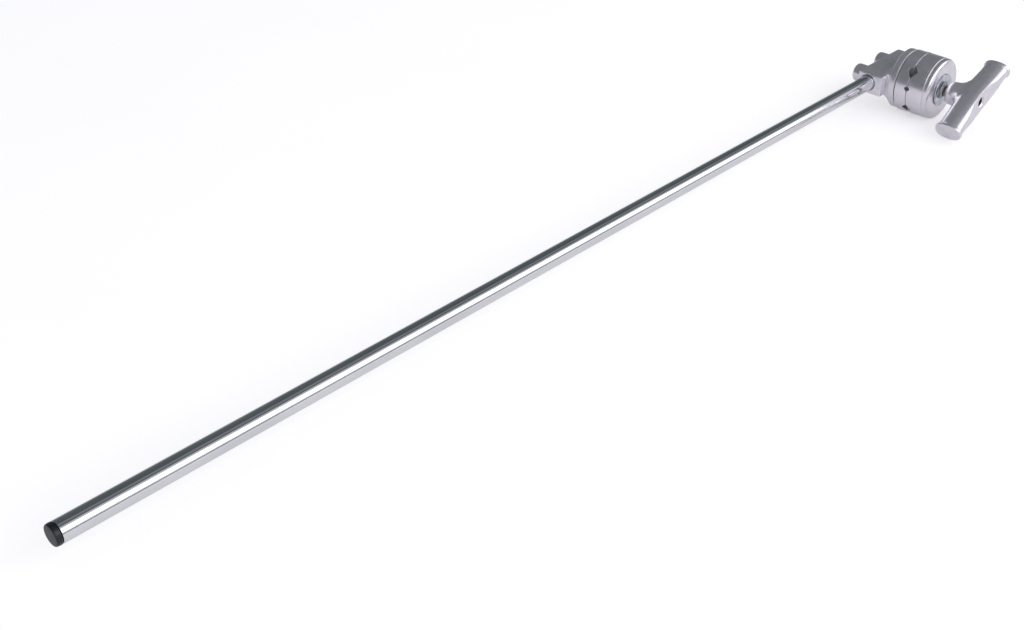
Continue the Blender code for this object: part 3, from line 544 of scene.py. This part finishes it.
plug_plastic = matt_finish("moulded_plastic", PLUG_COLOURS, (0.30, 0.46), 2600.0, 0.15)
fibre = matt_finish("pressed_fibre", FIBRE_COLOURS, (0.70, 0.90), 1400.0, 0.35)
print("made", plug_plastic.name, "and", fibre.name)

# %% [markdown]
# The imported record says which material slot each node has. A table from slot to finish dresses
# every CAD node in one loop, and the new pieces take theirs from the same table.

# %% Dress the CAD nodes
FINISHES = {
    "chrome": chrome,
    "polished_aluminium": turned_aluminium,
    "cast_aluminium": cast_aluminium,
    "steel": bright_steel,
    "zinc_steel": yellow_steel_with_painted_shade,
    "black_steel": black_steel,
    "bronze": bronze,
    "fibre": fibre,
    "black_plastic": plug_plastic,
}
slot_of_node = {part["node"]: part["material_slot"] for part in frame["record"]["subparts"]}
for node_name, node in nodes.items():
    finish = FINISHES[slot_of_node[node_name]]
    node.data.materials.clear()
    node.data.materials.append(finish)
print("dressed", len(nodes), "nodes with", len(FINISHES), "finishes")

# %% [markdown]
# ## New pieces
# The CAD parts are right in size but their round faces are facets. The pieces that show are made
# again as fine surfaces. Each one is a grid of points with two parameters: the rows follow a
# profile, and the columns go round an axis. The grid closes round, so its last column meets the
# first one, and rows that end on the axis merge into one point there.

# %% Grids and pieces
SHARP_ANGLE = math.radians(32.0)
SAME_POINT = 0.002 * MM


def grid_quads(rows, columns, ring):
    """Quads between neighbouring rows and columns; a ring's last row meets its first again."""
    spans = rows if ring else rows - 1
    row, column = np.meshgrid(np.arange(spans), np.arange(columns), indexing="ij")
    below = (row + 1) % rows
    beside = (column + 1) % columns
    corners = (
        row * columns + column,
        row * columns + beside,
        below * columns + beside,
        below * columns + column,
    )
    return np.stack(corners, axis=-1).reshape(-1, 4)


def close_mesh(mesh):
    """Merges the points that fall together and turns every face outwards."""
    shape = bmesh.new()
    shape.from_mesh(mesh)
    bmesh.ops.remove_doubles(shape, verts=shape.verts, dist=SAME_POINT)
    bmesh.ops.recalc_face_normals(shape, faces=shape.faces)
    shape.to_mesh(mesh)
    shape.free()


def grid_object(name, points, ring=False):
    """An object whose mesh is the grid of points, with rows and columns as its first two axes."""
    rows, columns = points.shape[:2]
    mesh = bpy.data.meshes.new(name)
    mesh.from_pydata(points.reshape(-1, 3).tolist(), [], grid_quads(rows, columns, ring).tolist())
    close_mesh(mesh)
    item = bpy.data.objects.new(name, mesh)
    bpy.context.scene.collection.objects.link(item)
    return item


def finish_piece(item, material, body, node):
    """Smooth faces with sharp creases, a finish, a body to ride on and the node it replaces."""
    item.data.materials.clear()
    item.data.materials.append(material)
    item.data.shade_smooth()
    item.data.set_sharp_from_angle(angle=SHARP_ANGLE)
    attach(item, body)
    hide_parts(node)
    print(item.name, "has", len(item.data.polygons), "faces")


print("grid helpers ready")

# %% [markdown]
# A machined edge is never quite sharp: a small round on it catches the light as a thin bright
# line. This function takes the corners of a profile and puts a short curve on each one. The curve
# is a quadratic Bezier whose middle handle is the corner itself.

# %% Soft profiles
def soft_profile(corners, rounding, steps=4, ring=False):
    """Each corner becomes a Bezier arc that starts and ends at most rounding away from it.

    With share t along the arc, a point is (1-t)^2 start + 2t(1-t) corner + t^2 end.
    """
    corners = np.array(corners)
    before = np.roll(corners, 1, axis=0) - corners
    after = np.roll(corners, -1, axis=0) - corners
    length_before = np.linalg.norm(before, axis=1, keepdims=True)
    length_after = np.linalg.norm(after, axis=1, keepdims=True)
    reach = np.minimum(rounding, 0.45 * np.minimum(length_before, length_after))
    start = corners + before * reach / length_before
    end = corners + after * reach / length_after
    share = np.linspace(0.0, 1.0, steps + 1)[None, :, None]
    arcs = (1 - share) ** 2 * start[:, None] + 2 * share * (1 - share) * corners[:, None]
    arcs = (arcs + share**2 * end[:, None]).reshape(-1, 2)
    if ring:
        return arcs
    inner = arcs[steps + 1 : -(steps + 1)]
    return np.concatenate([corners[:1], inner, corners[-1:]])


def turned_grid(profile, sides, placer):
    """The profile's (radius, height) points carried round the axis that placer stands for."""
    angle = np.linspace(0.0, 2.0 * math.pi, sides, endpoint=False)[None, :]
    radius = np.asarray(profile)[:, 0:1]
    height = np.asarray(profile)[:, 1:2] + 0.0 * angle
    return placer(radius * np.cos(angle), radius * np.sin(angle), height)


print("profile helpers ready")

# %% [markdown]
# The tube and its plug are the simplest turned pieces. The plug's flange has a generous moulded
# round toward its flat face, and its stem reaches into the tube.

# %% Tube and plug
TUBE_WALL = 1.65 * MM
PLUG_FLANGE = 4.2 * MM
PLUG_DEPTH = 20.0 * MM
STEM_PLAY = 0.4 * MM
PART_GAP = 0.3 * MM


def make_tube():
    inner = TUBE_RADIUS - TUBE_WALL
    start = PLUG_FLANGE + PART_GAP
    end = ARM_LENGTH - PART_GAP
    corners = [(TUBE_RADIUS, start), (TUBE_RADIUS, end), (inner, end), (inner, start)]
    grid = turned_grid(soft_profile(corners, 0.4 * MM, ring=True), 160, on_arm)
    finish_piece(grid_object("tube_surface", grid, ring=True), chrome, "arm", "arm_tube")


def make_plug():
    stem = TUBE_RADIUS - TUBE_WALL - STEM_PLAY
    tip = PLUG_FLANGE + PLUG_DEPTH
    flange = TUBE_RADIUS - 0.05 * MM
    corners = [(0.0, 0.0), (TUBE_RADIUS - 0.4 * MM, 0.0), (flange, 2.0 * MM)]
    corners += [(flange, PLUG_FLANGE), (stem, PLUG_FLANGE), (stem, tip), (0.0, tip)]
    grid = turned_grid(soft_profile(corners, 1.5 * MM, steps=6), 96, on_arm)
    finish_piece(grid_object("plug_surface", grid), plug_plastic, "arm", "end_cap")


make_tube()
make_plug()

# %% [markdown]
# The outer jaw is turned with a rounded front edge, a fine step near it, and a pocket for the
# bearing. The V grooves are milled across afterwards, so here too a Boolean cuts them from the
# turned body. One bar with a hexagonal section fits both halves of a groove. Each line of the
# table says a groove's width, its depth in one jaw, its distance from the axis and its heading.

# %% Jaws
DISC_RADIUS = 31.75 * MM
GROOVE_TURN = math.radians(14.0)
GROOVES = (
    (12.1 * MM, 5.1 * MM, 18.4 * MM, 180.0),
    (10.4 * MM, 4.9 * MM, 13.2 * MM, 270.0),
    (8.2 * MM, 4.0 * MM, 16.5 * MM, 0.0),
    (6.6 * MM, 3.2 * MM, 10.8 * MM, 90.0),
)
GROOVE_HALF_LENGTH = 40.0 * MM
JAW_GAP = 0.25 * MM
JAW_POCKET = 7.4 * MM
SPRING_FLOOR = -6.0 * MM
SCREW_BORE = 5.8 * MM
INNER_BACK = -13.2 * MM
OUTER_LINE = 17.6 * MM
OUTER_FACE = 23.5 * MM
BEARING_POCKET = 12.5 * MM
BEARING_FLOOR = 19.0 * MM
FRONT_STEP = 0.35 * MM
FRONT_ROUND = 3.5 * MM
STEP_NOTCH = 0.6 * MM


def groove_bar(width, depth, distance, heading):
    """The hexagon runs from end to end of the bar, and a fan of faces closes each end."""
    floor = 0.5 * width - depth
    side = np.array([0.5 * width, floor, -floor, -0.5 * width, -floor, floor])
    out = np.array([0.0, depth, depth, 0.0, -depth, -depth])
    along = np.array([-1.0, -1.0, 1.0, 1.0])[:, None] * GROOVE_HALF_LENGTH
    size = np.array([0.0, 1.0, 1.0, 0.0])[:, None]
    turn = GROOVE_TURN + math.radians(heading)
    outward = distance + side[None, :] * size
    across = outward * math.cos(turn) - along * math.sin(turn)
    up = outward * math.sin(turn) + along * math.cos(turn)
    return grid_object("groove_bar", on_head(across, up, out[None, :] * size))


def apply_modifiers(item):
    graph = bpy.context.evaluated_depsgraph_get()
    result = bpy.data.meshes.new_from_object(item.evaluated_get(graph))
    item.modifiers.clear()
    item.data = result


def combine(item, other, operation):
    """Applies a Boolean at once, so that the piece keeps no modifier and the other can go."""
    boolean = item.modifiers.new("boolean", "BOOLEAN")
    boolean.operation = operation
    boolean.solver = "EXACT"
    boolean.object = other
    apply_modifiers(item)
    bpy.data.objects.remove(other, do_unlink=True)


def make_jaw(name, corners, rounding, body, node):
    profile = soft_profile(corners, rounding, ring=True)
    jaw = grid_object(name, turned_grid(profile, 144, on_head), ring=True)
    for groove in GROOVES:
        combine(jaw, groove_bar(*groove), "DIFFERENCE")
    finish_piece(jaw, turned_aluminium, body, node)


def front_arc(radius, face, rounding, count=8):
    """A quarter circle from the front face to the rim, as cosine and sine of its angle."""
    angle = np.linspace(0.5 * math.pi, 0.0, count + 1)
    across = radius - rounding + rounding * np.cos(angle)
    out = face - rounding + rounding * np.sin(angle)
    return np.stack([across, out], axis=1).tolist()


front_radius = DISC_RADIUS - FRONT_STEP
outer_corners = [(BEARING_POCKET, OUTER_FACE)] + front_arc(front_radius, OUTER_FACE, FRONT_ROUND)
outer_corners += [(front_radius, OUTER_LINE + 0.5 * MM)]
outer_corners += [(front_radius - STEP_NOTCH, OUTER_LINE + 0.1 * MM)]
outer_corners += [(DISC_RADIUS, OUTER_LINE - 0.3 * MM)]
outer_corners += [(DISC_RADIUS, JAW_GAP), (JAW_POCKET, JAW_GAP)]
outer_corners += [(JAW_POCKET, BEARING_FLOOR), (BEARING_POCKET, BEARING_FLOOR)]
inner_corners = [(DISC_RADIUS, -JAW_GAP), (DISC_RADIUS, INNER_BACK), (SCREW_BORE, INNER_BACK)]
inner_corners += [(SCREW_BORE, SPRING_FLOOR), (JAW_POCKET, SPRING_FLOOR), (JAW_POCKET, -JAW_GAP)]
make_jaw("outer_jaw_surface", outer_corners, 0.5 * MM, "outer_jaw", "outer_jaw")
make_jaw("inner_jaw_surface", inner_corners, 0.6 * MM, "inner_jaw", "inner_jaw")

# %% [markdown]
# ## The clamp screw and what it presses
# A thread is a cylinder whose radius depends on the angle as well as the height. The share of a
# turn plus the share of a pitch says where on the thread's profile a point lies.

# %% Screw thread
SCREW_RADIUS = 5.5 * MM
SCREW_PITCH = 25.4 * MM / 14.0
SCREW_START = HEAD_Y + TUBE_RADIUS + PART_GAP
SCREW_END = 57.0 * MM
THREAD_DEPTH = 1.05 * MM
THREAD_STEEPNESS = 2.6
THREAD_CREST = 0.15
SCREW_SIDES = 48
ROWS_A_PITCH = 12
TIP_TAPER = 0.8 * MM
RING_GROOVE = (SCREW_START + 0.15 * MM, SCREW_START + 1.2 * MM)
RING_GROOVE_RADIUS = 4.7 * MM


def make_screw():
    """The radius is SCREW_RADIUS less THREAD_DEPTH times a clipped triangle wave.

    The wave's phase is height over pitch less angle over a full turn, which rises to the right.
    """
    rows = int((SCREW_END - SCREW_START) / (SCREW_PITCH / ROWS_A_PITCH))
    height = np.linspace(SCREW_START, SCREW_END, rows)[:, None]
    angle = np.linspace(0.0, 2.0 * math.pi, SCREW_SIDES, endpoint=False)[None, :]
    phase = np.mod(height / SCREW_PITCH - angle / (2.0 * math.pi), 1.0)
    wave = np.clip(THREAD_STEEPNESS * np.abs(phase - 0.5) - THREAD_CREST, 0.0, 1.0)
    from_tip = np.minimum(height - SCREW_START, SCREW_END - height)
    taper = np.clip(TIP_TAPER - from_tip, 0.0, TIP_TAPER)
    radius = SCREW_RADIUS - np.maximum(THREAD_DEPTH * wave, taper)
    in_groove = (height > RING_GROOVE[0]) & (height < RING_GROOVE[1])
    radius = np.where(in_groove, RING_GROOVE_RADIUS, radius)
    radius = np.concatenate([0.0 * radius[:1], radius, 0.0 * radius[:1]])
    level = np.concatenate([height[:1], height, height[-1:]]) + 0.0 * angle
    grid = on_head(radius * np.cos(angle), radius * np.sin(angle), level)
    finish_piece(grid_object("screw_surface", grid), yellow_steel_with_painted_shade, "handle", "clamp_screw")


make_screw()

# %% [markdown]
# The collar nut is a hexagon whose corners are turned off by a cone. At every angle its side lies
# at the smaller of two radii, the hexagon's and the cone's, and that is the whole formula.

# %% Washer and nut
WASHER_RADIUS = 16.6 * MM
WASHER_TOP = 25.1 * MM
WASHER_FOOT = 22.55 * MM
NUT_FLAT = 8.75 * MM
NUT_TOP = 28.0 * MM
NUT_TURN = math.radians(11.0)
NUT_EDGE = 0.15 * MM
NUT_CONE_SLOPE = 1.9


def make_washer():
    bore = SCREW_RADIUS + 0.3 * MM
    hub = BEARING_POCKET - PART_GAP
    seat = OUTER_FACE + 0.25 * MM
    corners = [(WASHER_RADIUS, WASHER_TOP), (WASHER_RADIUS, seat), (hub, seat)]
    corners += [(hub, WASHER_FOOT), (bore, WASHER_FOOT), (bore, WASHER_TOP)]
    grid = turned_grid(soft_profile(corners, 0.55 * MM, ring=True), 128, on_head)
    piece = grid_object("washer_surface", grid, ring=True)
    finish_piece(piece, bright_steel, "washer", "pressure_washer")


def make_nut():
    """The smaller of flat / cos(angle from the flat's middle) and the cone's radius."""
    bore = SCREW_RADIUS + PART_GAP
    bottom = WASHER_TOP + 0.25 * MM
    angle = np.linspace(0.0, 2.0 * math.pi, 144, endpoint=False)[None, :]
    off_flat = np.mod(angle - NUT_TURN + math.pi / 6.0, math.pi / 3.0) - math.pi / 6.0
    hexagon = NUT_FLAT / np.cos(off_flat)
    drop = np.array([0.0, 0.05, 0.15, 0.3, 0.45, 0.6, 0.8, 1.0])[:, None] * MM
    cone = NUT_FLAT - NUT_EDGE + NUT_CONE_SLOPE * drop
    side = np.minimum(hexagon, cone)
    radius = np.concatenate([bore + 0.0 * angle, side, hexagon - NUT_EDGE, bore + 0.0 * angle])
    level = np.concatenate([[[NUT_TOP]], NUT_TOP - drop, [[bottom]], [[bottom]]]) + 0.0 * angle
    grid = on_head(radius * np.cos(angle), radius * np.sin(angle), level)
    piece = grid_object("nut_surface", grid, ring=True)
    finish_piece(piece, bright_steel, "handle", "collar_nut")


make_washer()
make_nut()

# %% [markdown]
# ## The T handle
# The handle is two grids joined by a Boolean: a bar that swells toward a bead at each end, and a
# hub whose section grows from a circle to a long oval. A very large cylinder then scoops the
# shallow facet out of the front, and a drill sinks the hole for the socket screw.

# %% Handle sizes
HANDLE_TURN = math.radians(24.5)
BAR_AXIS = 58.0 * MM
BAR_HALF = 49.8 * MM
BAR_RADIUS = 12.4 * MM
BAR_END_RADIUS = 12.6 * MM
BAR_NARROW = 0.70
BAR_WIDE = 1.02
BAR_POWER_END = 2.3
BAR_POWER_MIDDLE = 3.6
BEAD_RADIUS = 13.9 * MM
BEAD_WIDTH = 3.8 * MM
BEAD_ROUND = 0.9 * MM
HUB_START = 30.2 * MM
HUB_RADIUS = 12.0 * MM
HUB_NOSE = 5.6 * MM
HUB_FLARE = 9.4 * MM
FACET_DEPTH = 8.7 * MM
FACET_SWEEP = 140.0 * MM
HANDLE_SIDES = 144


def on_handle(along, side, out):
    """Places points of the handle: along is the bar's direction, out is as on the head."""
    across = along * math.cos(HANDLE_TURN) - side * math.sin(HANDLE_TURN)
    up = along * math.sin(HANDLE_TURN) + side * math.cos(HANDLE_TURN)
    return on_head(across, up, out + 0.0 * across)


print("bar is", round(2.0 * BAR_HALF / MM), "mm long")

# %% [markdown]
# The bar's profile gets its end beads from soft corners. Its section is a superellipse, a curve
# between an ellipse and a rectangle: near the middle the bar is wider and squarer, so that the
# facet cut into it gets its lens shape. The hub's nose and flare are both quarter circles.

# %% Bar and hub
def superellipse(angle, half_width, half_depth, power):
    """Half width times |cos| to the 2/power and half depth times |sin| to the 2/power, signed."""
    side = half_width * np.sign(np.cos(angle)) * np.abs(np.cos(angle)) ** (2.0 / power)
    out = half_depth * np.sign(np.sin(angle)) * np.abs(np.sin(angle)) ** (2.0 / power)
    return side, out


def bar_grid():
    """The depth swells with the square of the share s from the middle to an end.

    The width and the section's squareness follow (1 - s^2)^2, which is 1 at the middle.
    """
    shoulder = BAR_HALF - BEAD_WIDTH
    share = np.linspace(-1.0, 1.0, 61)
    swell = BAR_RADIUS + (BAR_END_RADIUS - BAR_RADIUS) * share**2
    body = np.stack([swell, shoulder * share], axis=1)
    bead = [(0.0, BAR_HALF), (BEAD_RADIUS - 0.1 * MM, BAR_HALF)]
    bead += [(BEAD_RADIUS, shoulder + 0.4 * MM), (BAR_END_RADIUS, shoulder)]
    ends = soft_profile(bead, BEAD_ROUND)
    mirrored = (ends * (1.0, -1.0))[:-1]
    profile = np.concatenate([mirrored, body, ends[::-1][1:]])
    angle = np.linspace(0.0, 2.0 * math.pi, HANDLE_SIDES, endpoint=False)[None, :]
    depth = profile[:, 0:1]
    middle = (1.0 - np.clip(profile[:, 1:2] / shoulder, -1.0, 1.0) ** 2) ** 2
    width = depth * (BAR_NARROW + (BAR_WIDE - BAR_NARROW) * middle)
    power = BAR_POWER_END + (BAR_POWER_MIDDLE - BAR_POWER_END) * middle
    side, out = superellipse(angle, width, depth, power)
    return on_handle(profile[:, 1:2] + 0.0 * angle, side, BAR_AXIS + out)


def hub_grid():
    """An ellipse at each height: the nose rounds both half widths in, the flare widens one."""
    back = BAR_AXIS - BAR_RADIUS
    nose_part = HUB_START + HUB_NOSE * np.linspace(0.0, 1.0, 17) ** 2
    flare_part = np.linspace(HUB_START + HUB_NOSE, back, 33)[1:]
    height = np.concatenate([nose_part, flare_part, [BAR_AXIS]])[:, None]
    nose = np.clip(HUB_START + HUB_NOSE - height, 0.0, HUB_NOSE)
    inset = HUB_NOSE - np.sqrt(HUB_NOSE**2 - nose**2)
    rise = np.clip(height - back + HUB_FLARE, 0.0, HUB_FLARE)
    flare = HUB_FLARE - np.sqrt(HUB_FLARE**2 - rise**2)
    half_along = HUB_RADIUS - inset + flare
    half_side = HUB_RADIUS - inset
    half_along = np.concatenate([0.0 * half_along[:1], half_along, 0.0 * half_along[:1]])
    half_side = np.concatenate([0.0 * half_side[:1], half_side, 0.0 * half_side[:1]])
    height = np.concatenate([height[:1], height, height[-1:]])
    angle = np.linspace(0.0, 2.0 * math.pi, HANDLE_SIDES, endpoint=False)[None, :]
    return on_handle(half_along * np.cos(angle), half_side * np.sin(angle), height)


print("bar grid", bar_grid().shape[:2], "hub grid", hub_grid().shape[:2])

# %% [markdown]
# The order matters. The bar is joined to the hub first, and a casting has a soft fillet there, so
# a Remesh makes one even skin of both and a Smooth relaxes its middle. Then the scoop takes the
# front away, and the drill comes last, so that its chamfer lies on the finished facet.

# %% Handle
SKIN_VOXEL = 0.5 * MM
SKIN_SMOOTHING = 70
SMOOTH_FULL = 34.0 * MM
SMOOTH_NONE = 41.0 * MM
SCOOP_HALF_WIDTH = 20.0 * MM
COUNTERBORE = 4.7 * MM
HOLE_CHAMFER = 1.1 * MM
SHANK_HOLE = 3.1 * MM
HEAD_SEAT = SCREW_END + 3.6 * MM
SCREW_HOLE = 5.75 * MM
NOSE_HOLE = 6.8 * MM


def blend_skin(item):
    """Relaxes the piece where it is within SMOOTH_FULL of the axis, and less and less beyond."""
    remesh = item.modifiers.new("skin", "REMESH")
    remesh.mode = "VOXEL"
    remesh.voxel_size = SKIN_VOXEL
    apply_modifiers(item)
    group = item.vertex_groups.new(name="middle")
    for vertex in item.data.vertices:
        across = vertex.co.x - HEAD_X
        along = abs(across * math.cos(HANDLE_TURN) + vertex.co.z * math.sin(HANDLE_TURN))
        weight = (SMOOTH_NONE - along) / (SMOOTH_NONE - SMOOTH_FULL)
        group.add([vertex.index], min(max(weight, 0.0), 1.0), "REPLACE")
    smooth = item.modifiers.new("relax", "SMOOTH")
    smooth.factor = 0.5
    smooth.iterations = SKIN_SMOOTHING
    smooth.vertex_group = group.name
    apply_modifiers(item)


def scoop_grid():
    """A cylinder across the bar whose lowest line touches the facet's middle."""
    angle = np.linspace(0.0, 2.0 * math.pi, 720, endpoint=False)[None, :]
    radius = np.array([0.0, FACET_SWEEP, FACET_SWEEP, 0.0])[:, None]
    side = np.array([-1.0, -1.0, 1.0, 1.0])[:, None] * SCOOP_HALF_WIDTH + 0.0 * angle
    middle = BAR_AXIS + FACET_DEPTH + FACET_SWEEP
    return on_handle(radius * np.cos(angle), side, middle + radius * np.sin(angle))


def drill_grid():
    """Screw hole from the hub's nose, and a counterbore with a chamfer from the facet."""
    front = BAR_AXIS + FACET_DEPTH
    above = front + 10.0 * MM
    mouth = COUNTERBORE + HOLE_CHAMFER
    tip = SCREW_END + PART_GAP
    profile = [(0.0, above), (mouth, above), (mouth, front), (COUNTERBORE, front - HOLE_CHAMFER)]
    profile += [(COUNTERBORE, HEAD_SEAT), (SHANK_HOLE, HEAD_SEAT), (SHANK_HOLE, tip)]
    profile += [(SCREW_HOLE, tip), (SCREW_HOLE, HUB_START + MM), (NOSE_HOLE, HUB_START - 0.05 * MM)]
    profile += [(NOSE_HOLE, HUB_START - MM), (0.0, HUB_START - MM)]
    return turned_grid(profile, 64, on_head)


def make_handle():
    handle = grid_object("handle_surface", hub_grid())
    combine(handle, grid_object("bar", bar_grid()), "UNION")
    blend_skin(handle)
    combine(handle, grid_object("scoop", scoop_grid()), "DIFFERENCE")
    combine(handle, grid_object("drill", drill_grid()), "DIFFERENCE")
    finish_piece(handle, cast_aluminium, "handle", "t_handle")


make_handle()

# %% [markdown]
# ## The socket casting
# This part has flat faces and milled holes, so the CAD mesh itself is the start. A copy of its
# loose triangles is merged, flat faces become single polygons again, and a Bevel modifier rounds
# every edge that is sharper than the limit.

# %% Casting and small screws
MERGE_DISTANCE = 0.004 * MM
FLAT_ANGLE = math.radians(0.6)


def merged_copy(name, node_name):
    mesh = nodes[node_name].data.copy()
    mesh.name = name
    shape = bmesh.new()
    shape.from_mesh(mesh)
    bmesh.ops.remove_doubles(shape, verts=shape.verts, dist=MERGE_DISTANCE)
    bmesh.ops.dissolve_limit(
        shape, angle_limit=FLAT_ANGLE, verts=shape.verts, edges=shape.edges
    )
    shape.to_mesh(mesh)
    shape.free()
    item = bpy.data.objects.new(name, mesh)
    bpy.context.scene.collection.objects.link(item)
    return item


def rounded_copy(name, node_name, material, body, width):
    """The merged copy with rounded edges, and shading that keeps its flat faces flat."""
    item = merged_copy(name, node_name)
    finish_piece(item, material, body, node_name)
    bevel = item.modifiers.new("edges", "BEVEL")
    bevel.width = width
    bevel.segments = 3
    bevel.limit_method = "ANGLE"
    bevel.angle_limit = SHARP_ANGLE
    weights = item.modifiers.new("shading", "WEIGHTED_NORMAL")
    weights.keep_sharp = True


rounded_copy("socket_surface", "arm_socket", cast_aluminium, "arm", 0.7 * MM)
rounded_copy("near_screw_surface", "arm_set_screw_near", black_steel, "arm", 0.15 * MM)
rounded_copy("far_screw_surface", "arm_set_screw_far", black_steel, "arm", 0.15 * MM)
rounded_copy("handle_screw_surface", "handle_screw", black_steel, "handle", 0.2 * MM)
